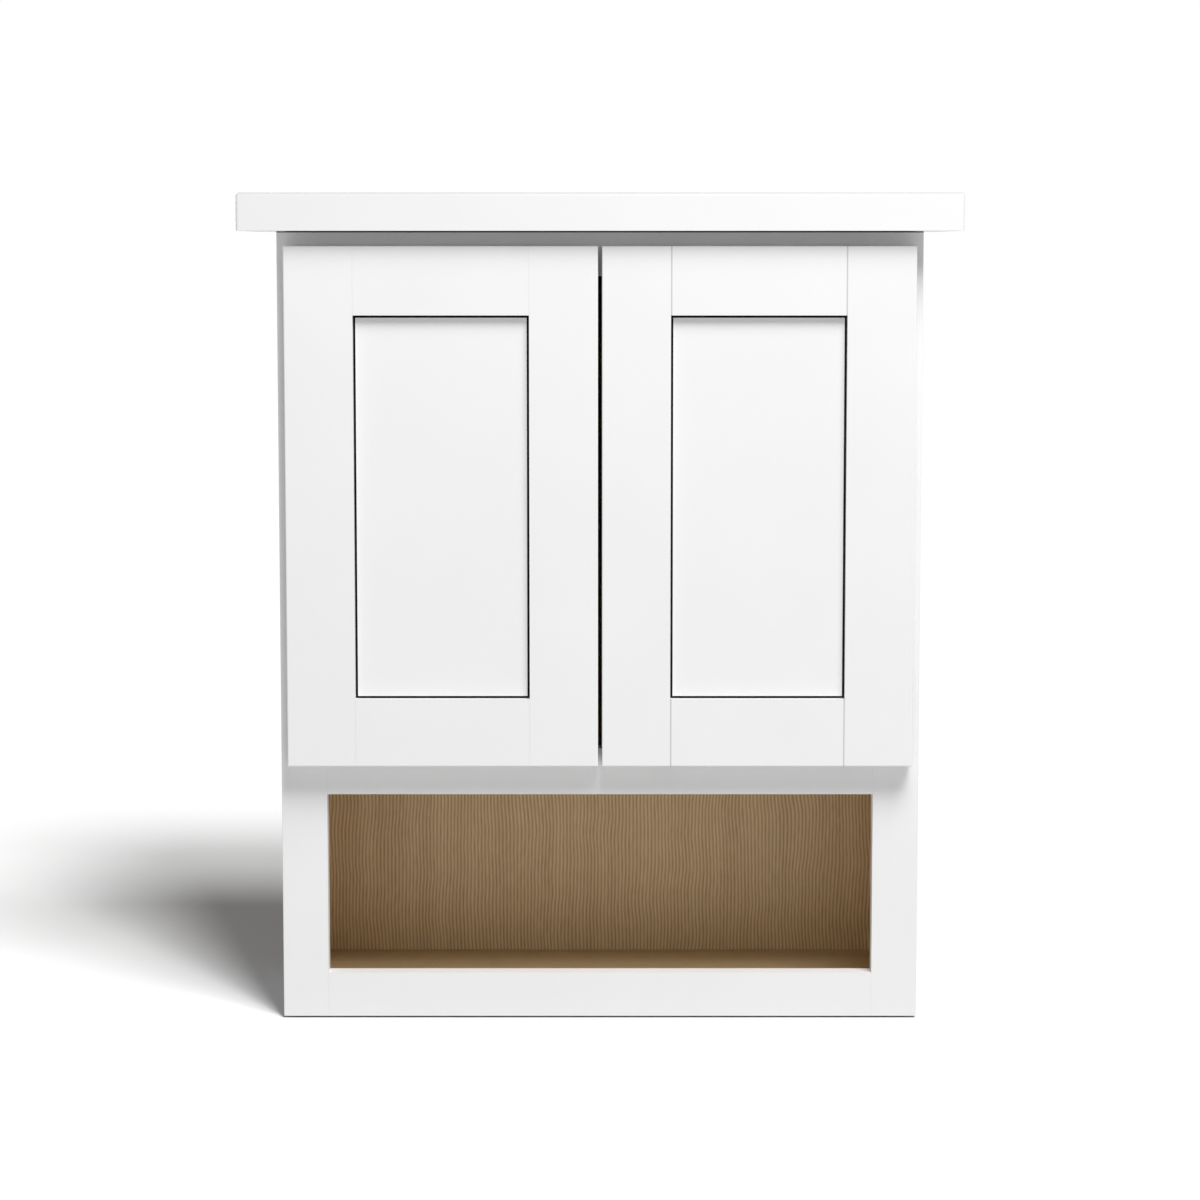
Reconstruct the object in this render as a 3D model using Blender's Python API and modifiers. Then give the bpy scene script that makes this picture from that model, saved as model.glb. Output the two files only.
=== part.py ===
# Wall mounted bathroom cabinet: two framed doors over an open cubby, under a thick cap
# Metres, +Z up. The front looks towards -Y and the back lies on the wall at y = 0
# The origin is the middle of the upper hanging rail's back face, which is screwed to the wall

import math

import bmesh
import bpy
from mathutils import Vector

# Clearance between pieces that touch, the line of a glued joint, how far a cut runs past the face it opens,
# and how far a joined face stands off a face that it would otherwise lie in
FIT = 0.0003
GLUE_LINE = 0.00008
CUT_PAST = 0.002
FACE_STEP = 0.0001

# Whole cabinet, without the cap and the doors
CABINET_WIDTH = 0.6096
CABINET_HEIGHT = 0.7525
CABINET_DEPTH = 0.2032

# Face frame
FRAME_THICKNESS = 0.01905
STILE_WIDTH = 0.0434
TOP_RAIL_HEIGHT = 0.042
MID_RAIL_HEIGHT = 0.0442
BOTTOM_RAIL_HEIGHT = 0.0425
CUBBY_OPENING_HEIGHT = 0.1739
FRAME_EDGE_RADIUS = 0.0008

# Box behind the frame
SIDE_THICKNESS = 0.0127
SIDE_SETBACK = 0.0032
SHELF_THICKNESS = 0.0127
RAIL_LIP = 0.0171
DADO_DEPTH = 0.006
BACK_THICKNESS = 0.0048
HANGING_RAIL_HEIGHT = 0.076
HANGING_RAIL_THICKNESS = 0.0127

# Cap
CAP_THICKNESS = 0.0355
CAP_OVERHANG = 0.0348
CAP_TOP_RADIUS = 0.003
CAP_BOTTOM_RADIUS = 0.0012

# Doors
DOOR_THICKNESS = 0.01905
DOOR_TOP_REVEAL = 0.0138
DOOR_BOTTOM_LAP = 0.0141
DOOR_SIDE_REVEAL = 0.00794
DOOR_GAP = 0.0038
DOOR_MEMBER_WIDTH = 0.0647
DOOR_EDGE_RADIUS = 0.0012
FIELD_SETBACK = 0.00635
FIELD_HEIGHT = 0.004
SHADOW_LINE = 0.0023
TONGUE_THICKNESS = 0.0048
GROOVE_DEPTH = 0.0095

# Bumper pads on the doors
BUMPER_GAP = 0.003
BUMPER_RADIUS = 0.0045
BUMPER_INSET = 0.007
BUMPER_EDGE_RADIUS = 0.0008

# Cup hinges
HINGE_END_DISTANCE = 0.080
CUP_BORE_RADIUS = 0.0175
CUP_SETBACK = 0.0034
CUP_WALL = 0.0008
CUP_FOOT_RADIUS = 0.0015
RIM_WIDTH = 0.0011
FLANGE_THICKNESS = 0.0012
FLANGE_LENGTH = 0.058
FLANGE_WIDTH = 0.0185
FLANGE_CORNER_RADIUS = 0.006
PIVOT_SETBACK = 0.008
PIVOT_DEPTH = 0.0095
PIN_RADIUS = 0.0012
BOSS_RADIUS = 0.0023
HINGE_CLEARANCE = 0.0004
NOTCH_CLEARANCE = 0.0006
NOTCH_DEPTH = 0.0025
ARM_THICKNESS = 0.0018
ARM_WIDTH = 0.008
ARM_FLAT = 0.006
ARM_FOOT_WIDTH = 0.016
ARM_FOOT_LENGTH = 0.012
ARM_END_MARGIN = 0.002
ARM_BEND_RADII = (0.006, 0.004, 0.0022)
BASE_THICKNESS = 0.0022
BASE_LENGTH = 0.044
BASE_LIP = 0.010
BASE_FRONT_MARGIN = 0.0025

# Roundness of the turned pieces and of the bends
CUP_SIDES = 32
PIN_SIDES = 16
BEND_STEPS = 4
EASE_STEPS = 3

# Places that follow from the sizes
HALF_WIDTH = CABINET_WIDTH / 2
TOP_Z = HANGING_RAIL_HEIGHT / 2
BOTTOM_Z = TOP_Z - CABINET_HEIGHT
FRAME_FRONT = -CABINET_DEPTH
FRAME_BACK = FRAME_FRONT + FRAME_THICKNESS
BOX_FRONT = FRAME_BACK + FIT
STILE_INNER_X = HALF_WIDTH - STILE_WIDTH
CUBBY_BOTTOM_Z = BOTTOM_Z + BOTTOM_RAIL_HEIGHT
MID_RAIL_BOTTOM_Z = CUBBY_BOTTOM_Z + CUBBY_OPENING_HEIGHT
MID_RAIL_TOP_Z = MID_RAIL_BOTTOM_Z + MID_RAIL_HEIGHT
FLOOR_TOP_Z = CUBBY_BOTTOM_Z - RAIL_LIP
FLOOR_BOTTOM_Z = FLOOR_TOP_Z - SHELF_THICKNESS
DECK_TOP_Z = MID_RAIL_TOP_Z - RAIL_LIP
DECK_BOTTOM_Z = DECK_TOP_Z - SHELF_THICKNESS
TOP_PANEL_BOTTOM_Z = TOP_Z - SHELF_THICKNESS
SIDE_OUTER_X = HALF_WIDTH - SIDE_SETBACK
SIDE_INNER_X = SIDE_OUTER_X - SIDE_THICKNESS
SHELF_END_X = SIDE_INNER_X + DADO_DEPTH - FIT
BACK_REAR = -HANGING_RAIL_THICKNESS - FIT
BACK_FRONT = BACK_REAR - BACK_THICKNESS

DOOR_TOP_Z = TOP_Z - DOOR_TOP_REVEAL
DOOR_BOTTOM_Z = MID_RAIL_TOP_Z - DOOR_BOTTOM_LAP
DOOR_WIDTH = HALF_WIDTH - DOOR_SIDE_REVEAL - DOOR_GAP / 2
DOOR_BACK = FRAME_FRONT - BUMPER_GAP
DOOR_FRONT = DOOR_BACK - DOOR_THICKNESS
FIELD_FRONT = DOOR_FRONT + FIELD_SETBACK
TONGUE_FRONT = FIELD_FRONT + FIELD_HEIGHT
TONGUE_REAR = TONGUE_FRONT + TONGUE_THICKNESS

CUP_CENTRE = CUP_SETBACK + CUP_BORE_RADIUS
CUP_RADIUS = CUP_BORE_RADIUS - FIT
CUP_INNER_RADIUS = CUP_RADIUS - CUP_WALL
CUP_INNER_DEPTH = PIVOT_DEPTH + BOSS_RADIUS + HINGE_CLEARANCE
CUP_DEPTH = CUP_INNER_DEPTH + CUP_WALL
FLANGE_TOP = FIT + FLANGE_THICKNESS
STILE_EDGE = STILE_WIDTH - DOOR_SIDE_REVEAL

# Sides of the cabinet, and the directions that faces look in
LEFT_SIDE = -1
RIGHT_SIDE = 1
SIDE_NAMES = {LEFT_SIDE: "left", RIGHT_SIDE: "right"}
LEFT = Vector((-1, 0, 0))
RIGHT = Vector((1, 0, 0))
FRONT = Vector((0, -1, 0))
BACK = Vector((0, 1, 0))
UP = Vector((0, 0, 1))
DOWN = Vector((0, 0, -1))


def clear_scene():
    for old in list(bpy.data.objects):
        bpy.data.objects.remove(old, do_unlink=True)


def new_collection(name):
    collection = bpy.data.collections.new(name)
    bpy.context.scene.collection.children.link(collection)
    return collection


def new_material(name, colour, roughness, metallic=0.0):
    material = bpy.data.materials.new(name)
    material.use_nodes = True
    shader = material.node_tree.nodes["Principled BSDF"]
    shader.inputs["Base Color"].default_value = (*colour, 1.0)
    shader.inputs["Roughness"].default_value = roughness
    shader.inputs["Metallic"].default_value = metallic
    return material


clear_scene()
PARTS = new_collection("bathroom_wall_cabinet")
CUTTERS = new_collection("cutters")
WHITE_PAINT = new_material("white_paint", (0.86, 0.86, 0.85), 0.38)
MAPLE_PRINT = new_material("maple_print", (0.44, 0.30, 0.17), 0.45)
BARE_WOOD = new_material("bare_wood", (0.55, 0.41, 0.26), 0.6)
NICKEL_PLATE = new_material("nickel_plate", (0.62, 0.60, 0.57), 0.28, 1.0)
CLEAR_RUBBER = new_material("clear_rubber", (0.72, 0.73, 0.72), 0.55)


# Mesh shapes

def block(low, high):
    shape = bmesh.new()
    bmesh.ops.create_cube(shape, size=1.0)
    low = Vector(low)
    high = Vector(high)
    bmesh.ops.scale(shape, vec=high - low, verts=shape.verts)
    bmesh.ops.translate(shape, vec=(low + high) / 2, verts=shape.verts)
    return shape


def rod(centre, axis, radius, length, sides):
    shape = bmesh.new()
    bmesh.ops.create_cone(shape, cap_ends=True, segments=sides, radius1=radius, radius2=radius, depth=length)
    turn = UP.rotation_difference(axis).to_matrix()
    bmesh.ops.rotate(shape, cent=(0, 0, 0), matrix=turn, verts=shape.verts)
    bmesh.ops.translate(shape, vec=centre, verts=shape.verts)
    return shape


def ease(shape, facing_pairs, radius, steps=EASE_STEPS):
    # Round the edges where a face looking one way meets a face looking the other way
    edges = []
    for edge in shape.edges:
        normals = [face.normal for face in edge.link_faces]
        for first, second in facing_pairs:
            if any(n.dot(first) > 0.99 for n in normals) and any(n.dot(second) > 0.99 for n in normals):
                edges.append(edge)
    bmesh.ops.bevel(shape, geom=edges, offset=radius, offset_type="OFFSET", affect="EDGES",
                    segments=steps, profile=0.5, clamp_overlap=True)
    return shape


def rounded_path(corners, radii):
    # A flat path through the corners, with an arc of the given radius at each inner corner
    points = [Vector(corners[0])]
    for before, corner, after, radius in zip(corners, corners[1:], corners[2:], radii):
        corner = Vector(corner)
        arriving = (corner - Vector(before)).normalized()
        leaving = (Vector(after) - corner).normalized()
        turn = arriving.angle(leaving)
        reach = radius * math.tan(turn / 2)
        start = corner - arriving * reach
        inward = (leaving - arriving * arriving.dot(leaving)).normalized()
        for step in range(BEND_STEPS + 1):
            angle = turn * step / BEND_STEPS
            along = arriving * radius * math.sin(angle)
            across = inward * radius * (1 - math.cos(angle))
            points.append(start + along + across)
    points.append(Vector(corners[-1]))
    return points


def strip(points, low_z, high_z):
    # An open sheet that follows the points in plan and stands from low_z to high_z
    shape = bmesh.new()
    verts = [shape.verts.new((x, y, low_z)) for x, y in points]
    edges = [shape.edges.new(pair) for pair in zip(verts, verts[1:])]
    made = bmesh.ops.extrude_edge_only(shape, edges=edges)["geom"]
    raised = [item for item in made if isinstance(item, bmesh.types.BMVert)]
    bmesh.ops.translate(shape, vec=(0, 0, high_z - low_z), verts=raised)
    return shape


# Objects, cuts and joins

def new_object(name, shape, collection, pivot=None):
    mesh = bpy.data.meshes.new(name)
    if pivot is not None:
        bmesh.ops.translate(shape, vec=-pivot.location, verts=shape.verts)
    shape.to_mesh(mesh)
    shape.free()
    made = bpy.data.objects.new(name, mesh)
    collection.objects.link(made)
    made.parent = pivot
    return made


def add_part(name, shape, material, pivot=None, smooth=False):
    part = new_object(name, shape, PARTS, pivot)
    part.data.materials.append(material)
    if smooth:
        part.data.shade_smooth()
        part.data.set_sharp_from_angle(angle=math.radians(40))
    return part


def add_cutter(name, shape):
    cutter = new_object(name, shape, CUTTERS)
    cutter.hide_render = True
    cutter.display_type = "WIRE"
    return cutter


def combine(part, operation, name, shape):
    step = part.modifiers.new(name, "BOOLEAN")
    step.operation = operation
    step.solver = "EXACT"
    step.object = add_cutter(part.name + "_" + name, shape)


def cut(part, name, shape):
    combine(part, "DIFFERENCE", name, shape)


def join(part, name, shape):
    combine(part, "UNION", name, shape)


def thicken(part, thickness):
    wall = part.modifiers.new("sheet_thickness", "SOLIDIFY")
    wall.thickness = thickness
    wall.offset = 0.0
    wall.use_even_offset = True


# Positions measured on one side of the cabinet

def door_x(side, from_edge):
    # From a door's outer edge inwards
    return side * (HALF_WIDTH - DOOR_SIDE_REVEAL - from_edge)


def span_block(x_pair, y_pair, z_pair):
    return block((min(x_pair), min(y_pair), min(z_pair)), (max(x_pair), max(y_pair), max(z_pair)))


# Face frame

def make_face_frame():
    for side, name in SIDE_NAMES.items():
        outward = RIGHT * side
        stile_x = (side * STILE_INNER_X, side * HALF_WIDTH)
        stile = span_block(stile_x, (FRAME_FRONT, FRAME_BACK), (BOTTOM_Z, TOP_Z))
        ease(stile, [(FRONT, outward)], FRAME_EDGE_RADIUS)
        add_part("frame_" + name + "_stile", stile, WHITE_PAINT)
    rails = {"top": (TOP_Z - TOP_RAIL_HEIGHT, TOP_Z),
             "mid": (MID_RAIL_BOTTOM_Z, MID_RAIL_TOP_Z),
             "bottom": (BOTTOM_Z, CUBBY_BOTTOM_Z)}
    half_length = STILE_INNER_X - GLUE_LINE
    for name, heights in rails.items():
        rail = span_block((-half_length, half_length), (FRAME_FRONT, FRAME_BACK), heights)
        add_part("frame_" + name + "_rail", rail, WHITE_PAINT)


# Box: two sides with dadoes, three shelves, the back and two hanging rails

def make_side(side):
    board = span_block((side * SIDE_INNER_X, side * SIDE_OUTER_X), (BOX_FRONT, 0), (BOTTOM_Z, TOP_Z))
    panel = add_part("side_panel_" + SIDE_NAMES[side], board, WHITE_PAINT)
    dado_x = (side * (SIDE_INNER_X - CUT_PAST), side * (SIDE_INNER_X + DADO_DEPTH))
    dado_y = (BOX_FRONT - CUT_PAST, BACK_FRONT)
    dadoes = {"floor_dado": (FLOOR_BOTTOM_Z - FIT, FLOOR_TOP_Z + FIT),
              "deck_dado": (DECK_BOTTOM_Z - FIT, DECK_TOP_Z + FIT),
              "top_rabbet": (TOP_PANEL_BOTTOM_Z - FIT, TOP_Z + CUT_PAST)}
    for cut_name, heights in dadoes.items():
        cut(panel, cut_name, span_block(dado_x, dado_y, heights))
    cut(panel, "back_groove", span_block(dado_x, (BACK_FRONT - FIT, BACK_REAR + FIT),
                                         (FLOOR_BOTTOM_Z - FIT, TOP_Z + CUT_PAST)))


def make_box():
    for side in SIDE_NAMES:
        make_side(side)
    shelves = {"top_panel": (TOP_PANEL_BOTTOM_Z, TOP_Z),
               "door_bay_deck": (DECK_BOTTOM_Z, DECK_TOP_Z),
               "cubby_floor": (FLOOR_BOTTOM_Z, FLOOR_TOP_Z)}
    for name, heights in shelves.items():
        shelf = span_block((-SHELF_END_X, SHELF_END_X), (BOX_FRONT, BACK_FRONT - FIT), heights)
        add_part(name, shelf, MAPLE_PRINT)
    back = span_block((-SHELF_END_X, SHELF_END_X), (BACK_FRONT, BACK_REAR), (FLOOR_BOTTOM_Z, TOP_Z))
    add_part("back_panel", back, MAPLE_PRINT)
    rails = {"upper": (TOP_Z - HANGING_RAIL_HEIGHT, TOP_Z),
             "lower": (FLOOR_BOTTOM_Z, FLOOR_BOTTOM_Z + HANGING_RAIL_HEIGHT)}
    half_length = SIDE_INNER_X - FIT
    for name, heights in rails.items():
        rail = span_block((-half_length, half_length), (-HANGING_RAIL_THICKNESS, 0), heights)
        add_part(name + "_hanging_rail", rail, BARE_WOOD)


# Cap: a slab over the frame and the box, rounded along its three free sides

def make_cap():
    half_width = HALF_WIDTH + CAP_OVERHANG
    bottom = TOP_Z + FIT
    heights = (bottom, bottom + CAP_THICKNESS)
    slab = span_block((-half_width, half_width), (FRAME_FRONT - CAP_OVERHANG, 0), heights)
    ease(slab, [(UP, FRONT), (UP, LEFT), (UP, RIGHT), (FRONT, LEFT), (FRONT, RIGHT)], CAP_TOP_RADIUS)
    ease(slab, [(DOWN, FRONT), (DOWN, LEFT), (DOWN, RIGHT)], CAP_BOTTOM_RADIUS)
    add_part("top_cap", slab, WHITE_PAINT)


# Doors: two stiles with a groove, two rails with tongues, and a panel that sits in the grooves

def hinge_heights():
    return {"lower": DOOR_BOTTOM_Z + HINGE_END_DISTANCE, "upper": DOOR_TOP_Z - HINGE_END_DISTANCE}


def groove_depths():
    return (TONGUE_FRONT - FIT, TONGUE_REAR + FIT)


def make_stile(side, pivot, name, edges, inner_edge, eased_side):
    outward = RIGHT * eased_side
    stile_x = [door_x(side, edge) for edge in edges]
    stile = span_block(stile_x, (DOOR_FRONT, DOOR_BACK), (DOOR_BOTTOM_Z, DOOR_TOP_Z))
    ease(stile, [(FRONT, outward), (BACK, outward), (FRONT, UP), (FRONT, DOWN), (BACK, UP), (BACK, DOWN)],
         DOOR_EDGE_RADIUS)
    part = add_part(name, stile, WHITE_PAINT, pivot)
    towards_panel = 1 if inner_edge == max(edges) else -1
    groove_edges = (inner_edge + towards_panel * CUT_PAST, inner_edge - towards_panel * GROOVE_DEPTH)
    groove_x = [door_x(side, edge) for edge in groove_edges]
    past_ends = (DOOR_BOTTOM_Z - CUT_PAST, DOOR_TOP_Z + CUT_PAST)
    cut(part, "panel_groove", span_block(groove_x, groove_depths(), past_ends))
    return part


def make_rail(side, pivot, name, heights, inner_z, facing):
    # The stub tenons of the rail run in the stiles' grooves
    shoulder = DOOR_MEMBER_WIDTH + GLUE_LINE
    rail_x = [door_x(side, shoulder), door_x(side, DOOR_WIDTH - shoulder)]
    rail = span_block(rail_x, (DOOR_FRONT, DOOR_BACK), heights)
    ease(rail, [(FRONT, facing), (BACK, facing)], DOOR_EDGE_RADIUS)
    part = add_part(name, rail, WHITE_PAINT, pivot)
    tenon = shoulder - GROOVE_DEPTH
    tenon_x = [door_x(side, tenon), door_x(side, DOOR_WIDTH - tenon)]
    edge_gap = DOOR_EDGE_RADIUS + FIT
    join(part, "tenons", span_block(tenon_x, (TONGUE_FRONT, TONGUE_REAR),
                                    (min(heights) + edge_gap, max(heights) - edge_gap)))
    into_rail = math.copysign(1, facing.z)
    groove_z = (inner_z - into_rail * CUT_PAST, inner_z + into_rail * GROOVE_DEPTH)
    past_ends = [door_x(side, tenon - CUT_PAST), door_x(side, DOOR_WIDTH - tenon + CUT_PAST)]
    cut(part, "panel_groove", span_block(past_ends, groove_depths(), groove_z))


def make_door_panel(side, pivot, name, opening_z):
    # A thin tongue all round, and a field that stands forward of it inside a narrow shadow line
    reach = GROOVE_DEPTH - FIT
    low_z, high_z = opening_z
    edges = (DOOR_MEMBER_WIDTH, DOOR_WIDTH - DOOR_MEMBER_WIDTH)
    tongue_x = [door_x(side, edges[0] - reach), door_x(side, edges[1] + reach)]
    panel = span_block(tongue_x, (TONGUE_FRONT, TONGUE_REAR), (low_z - reach, high_z + reach))
    front_face = [face for face in panel.faces if face.normal.dot(FRONT) > 0.99]
    bmesh.ops.inset_region(panel, faces=front_face, thickness=reach + SHADOW_LINE, use_even_offset=True)
    raised = bmesh.ops.extrude_face_region(panel, geom=front_face)["geom"]
    bmesh.ops.translate(panel, vec=FRONT * FIELD_HEIGHT,
                        verts=[item for item in raised if isinstance(item, bmesh.types.BMVert)])
    bmesh.ops.delete(panel, geom=front_face, context="FACES")
    add_part(name, panel, WHITE_PAINT, pivot)


def make_bumpers(side, pivot, name):
    thickness = BUMPER_GAP - 2 * FIT
    heights = {"lower": DOOR_BOTTOM_Z + BUMPER_INSET, "upper": DOOR_TOP_Z - BUMPER_INSET}
    for place, z in heights.items():
        centre = Vector((door_x(side, DOOR_WIDTH - BUMPER_INSET), DOOR_BACK + BUMPER_GAP / 2, z))
        pad = rod(centre, BACK, BUMPER_RADIUS, thickness, PIN_SIDES)
        rim = [edge for edge in pad.edges if edge.calc_face_angle() > 1 and edge.verts[0].co.y > centre.y]
        bmesh.ops.bevel(pad, geom=rim, offset=BUMPER_EDGE_RADIUS, affect="EDGES", segments=2, profile=0.5)
        add_part(name + "_" + place + "_bumper", pad, CLEAR_RUBBER, pivot, smooth=True)


def make_door(side):
    name = SIDE_NAMES[side] + "_door"
    pivot = bpy.data.objects.new(name + "_pivot", None)
    pivot.location = (door_x(side, PIVOT_SETBACK), DOOR_BACK - PIVOT_DEPTH, (DOOR_TOP_Z + DOOR_BOTTOM_Z) / 2)
    PARTS.objects.link(pivot)
    hinge_inner = DOOR_MEMBER_WIDTH
    lock_inner = DOOR_WIDTH - DOOR_MEMBER_WIDTH
    hinge_stile = make_stile(side, pivot, name + "_hinge_stile", (0, hinge_inner), hinge_inner, side)
    make_stile(side, pivot, name + "_lock_stile", (lock_inner, DOOR_WIDTH), lock_inner, -side)
    opening_z = (DOOR_BOTTOM_Z + DOOR_MEMBER_WIDTH, DOOR_TOP_Z - DOOR_MEMBER_WIDTH)
    make_rail(side, pivot, name + "_top_rail", (opening_z[1], DOOR_TOP_Z), opening_z[1], UP)
    make_rail(side, pivot, name + "_bottom_rail", (DOOR_BOTTOM_Z, opening_z[0]), opening_z[0], DOWN)
    make_door_panel(side, pivot, name + "_panel", opening_z)
    make_bumpers(side, pivot, name)
    for place, z in hinge_heights().items():
        cut(hinge_stile, place + "_cup_bore", cup_rod(side, z, CUP_BORE_RADIUS, -CUP_DEPTH - FIT, CUT_PAST))
        make_hinge(side, pivot, SIDE_NAMES[side] + "_" + place + "_hinge", z)


# Hinges: a cup in the door, a pin across it, a gooseneck arm, and a base round the stile's edge

def cup_rod(side, z, radius, from_depth, to_depth):
    # A cylinder on the cup's axis, between two depths measured from the door's back face
    centre = Vector((door_x(side, CUP_CENTRE), DOOR_BACK + (from_depth + to_depth) / 2, z))
    return rod(centre, BACK, radius, to_depth - from_depth, CUP_SIDES)


def pivot_rod(side, z, radius, length):
    centre = Vector((door_x(side, PIVOT_SETBACK), DOOR_BACK - PIVOT_DEPTH, z))
    return rod(centre, UP, radius, length, PIN_SIDES)


def plan_points(side, points):
    # Hinge points, from the door's outer edge and from its back face, as places in plan
    return [(door_x(side, along), DOOR_BACK + depth) for along, depth in points]


def make_cup(side, pivot, name, z):
    body = cup_rod(side, z, CUP_RADIUS, -CUP_DEPTH, FLANGE_TOP)
    foot = [edge for edge in body.edges if max(v.co.y for v in edge.verts) < DOOR_BACK - CUP_INNER_DEPTH]
    bmesh.ops.bevel(body, geom=foot, offset=CUP_FOOT_RADIUS, affect="EDGES", segments=2, profile=0.5)
    cup = add_part(name + "_cup", body, NICKEL_PLATE, pivot, smooth=True)
    join(cup, "rim", cup_rod(side, z, CUP_BORE_RADIUS + RIM_WIDTH, FIT, FLANGE_TOP))
    ear_x = [door_x(side, CUP_CENTRE), door_x(side, CUP_CENTRE + FLANGE_WIDTH)]
    ear_z = (z - FLANGE_LENGTH / 2, z + FLANGE_LENGTH / 2)
    ears = span_block(ear_x, (DOOR_BACK + FIT, DOOR_BACK + FLANGE_TOP), ear_z)
    ease(ears, [(UP, LEFT), (UP, RIGHT), (DOWN, LEFT), (DOWN, RIGHT)], FLANGE_CORNER_RADIUS)
    join(cup, "ears", ears)
    cut(cup, "hollow", cup_rod(side, z, CUP_INNER_RADIUS, -CUP_INNER_DEPTH, FLANGE_TOP + CUT_PAST))
    notch_x = [door_x(side, CUP_CENTRE), door_x(side, CUP_CENTRE + CUP_BORE_RADIUS + FLANGE_WIDTH)]
    notch_half = ARM_WIDTH / 2 + NOTCH_CLEARANCE
    cut(cup, "arm_notch", span_block(notch_x, (DOOR_BACK - NOTCH_DEPTH, DOOR_BACK + FLANGE_TOP + CUT_PAST),
                                     (z - notch_half, z + notch_half)))
    cut(cup, "pin_bore", pivot_rod(side, z, PIN_RADIUS + FIT, 2 * CUP_BORE_RADIUS + 2 * CUT_PAST))


def make_pin(side, pivot, name, z):
    # The pin's ends stay inside the outer face of the cup's wall
    outer_offset = CUP_CENTRE - PIVOT_SETBACK + PIN_RADIUS
    half_length = math.sqrt(CUP_RADIUS ** 2 - outer_offset ** 2)
    add_part(name + "_pin", pivot_rod(side, z, PIN_RADIUS, 2 * half_length), NICKEL_PLATE, pivot, smooth=True)


def make_arm(side, name, z):
    # From the pin along the cup's floor, up through the notch, across the gap and along the base
    run_depth = -PIVOT_DEPTH - BOSS_RADIUS + ARM_THICKNESS / 2 + FACE_STEP
    gap_depth = BUMPER_GAP / 2
    leg = STILE_EDGE + FIT + BASE_THICKNESS + FIT + ARM_THICKNESS / 2
    leg_end = BUMPER_GAP + FRAME_THICKNESS - ARM_END_MARGIN
    rise_end = leg - ARM_FLAT
    rise_start = rise_end - (gap_depth - run_depth)
    corners = [(PIVOT_SETBACK, run_depth), (rise_start, run_depth), (rise_end, gap_depth),
               (leg, gap_depth), (leg, leg_end)]
    path = plan_points(side, rounded_path(corners, ARM_BEND_RADII))
    sheet = strip(path, z - ARM_WIDTH / 2, z + ARM_WIDTH / 2)
    arm = add_part(name + "_arm", sheet, NICKEL_PLATE, smooth=True)
    thicken(arm, ARM_THICKNESS)
    join(arm, "boss", pivot_rod(side, z, BOSS_RADIUS, ARM_WIDTH - FIT))
    foot_edges = (leg - ARM_THICKNESS / 2 + FACE_STEP, leg + ARM_THICKNESS / 2 + FIT)
    foot_x = [door_x(side, edge) for edge in foot_edges]
    foot_y = (DOOR_BACK + leg_end - ARM_FOOT_LENGTH, DOOR_BACK + leg_end - FIT)
    join(arm, "foot", span_block(foot_x, foot_y, (z - ARM_FOOT_WIDTH / 2, z + ARM_FOOT_WIDTH / 2)))
    cut(arm, "pin_bore", pivot_rod(side, z, PIN_RADIUS + FIT, ARM_WIDTH + 2 * CUT_PAST))


def make_base(side, name, z):
    # The bend keeps the fit clearance from the stile's corner all the way round
    edge = STILE_EDGE + FIT + BASE_THICKNESS / 2
    behind = BUMPER_GAP + FRAME_THICKNESS + FIT + BASE_THICKNESS / 2
    corners = [(edge, BUMPER_GAP + BASE_FRONT_MARGIN), (edge, behind), (STILE_EDGE - BASE_LIP, behind)]
    path = plan_points(side, rounded_path(corners, [FIT + BASE_THICKNESS / 2]))
    sheet = strip(path, z - BASE_LENGTH / 2, z + BASE_LENGTH / 2)
    base = add_part(name + "_base", sheet, NICKEL_PLATE, smooth=True)
    thicken(base, BASE_THICKNESS)


def make_hinge(side, pivot, name, z):
    make_cup(side, pivot, name, z)
    make_pin(side, pivot, name, z)
    make_arm(side, name, z)
    make_base(side, name, z)


make_face_frame()
make_box()
make_cap()
for cabinet_side in SIDE_NAMES:
    make_door(cabinet_side)
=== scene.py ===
# Looks of the wall mounted bathroom cabinet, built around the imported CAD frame
# Metres, +Z up, the doors look towards -Y and the wall is at y = 0

import math

import bmesh
import bpy
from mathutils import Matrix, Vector


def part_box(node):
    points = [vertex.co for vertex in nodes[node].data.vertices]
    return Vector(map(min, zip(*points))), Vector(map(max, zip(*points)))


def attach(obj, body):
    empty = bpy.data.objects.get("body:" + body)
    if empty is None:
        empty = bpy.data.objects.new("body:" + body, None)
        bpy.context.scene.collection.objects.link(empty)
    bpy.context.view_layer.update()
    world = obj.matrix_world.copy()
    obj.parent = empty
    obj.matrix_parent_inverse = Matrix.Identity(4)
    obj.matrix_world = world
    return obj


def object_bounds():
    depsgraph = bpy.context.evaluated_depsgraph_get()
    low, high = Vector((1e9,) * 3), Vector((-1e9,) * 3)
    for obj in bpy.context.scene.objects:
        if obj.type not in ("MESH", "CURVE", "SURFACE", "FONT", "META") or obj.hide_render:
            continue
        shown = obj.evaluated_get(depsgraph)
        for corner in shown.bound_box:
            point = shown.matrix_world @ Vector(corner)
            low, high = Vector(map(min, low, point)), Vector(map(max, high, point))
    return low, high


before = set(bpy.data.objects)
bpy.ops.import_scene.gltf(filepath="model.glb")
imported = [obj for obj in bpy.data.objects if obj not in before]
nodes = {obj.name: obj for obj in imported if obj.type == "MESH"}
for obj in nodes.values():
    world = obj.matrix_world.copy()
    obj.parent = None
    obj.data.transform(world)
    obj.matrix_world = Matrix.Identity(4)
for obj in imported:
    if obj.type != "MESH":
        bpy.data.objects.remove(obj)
cadBox = [list(corner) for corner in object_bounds()]
sides = {"left": -1, "right": 1}  # which way is outwards along X
levels = ("lower", "upper")
print("frame loaded:", len(nodes), "nodes")


# small helpers

alongCosine = 0.5  # a face looks along an axis when it is turned less than 60 degrees from it


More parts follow.
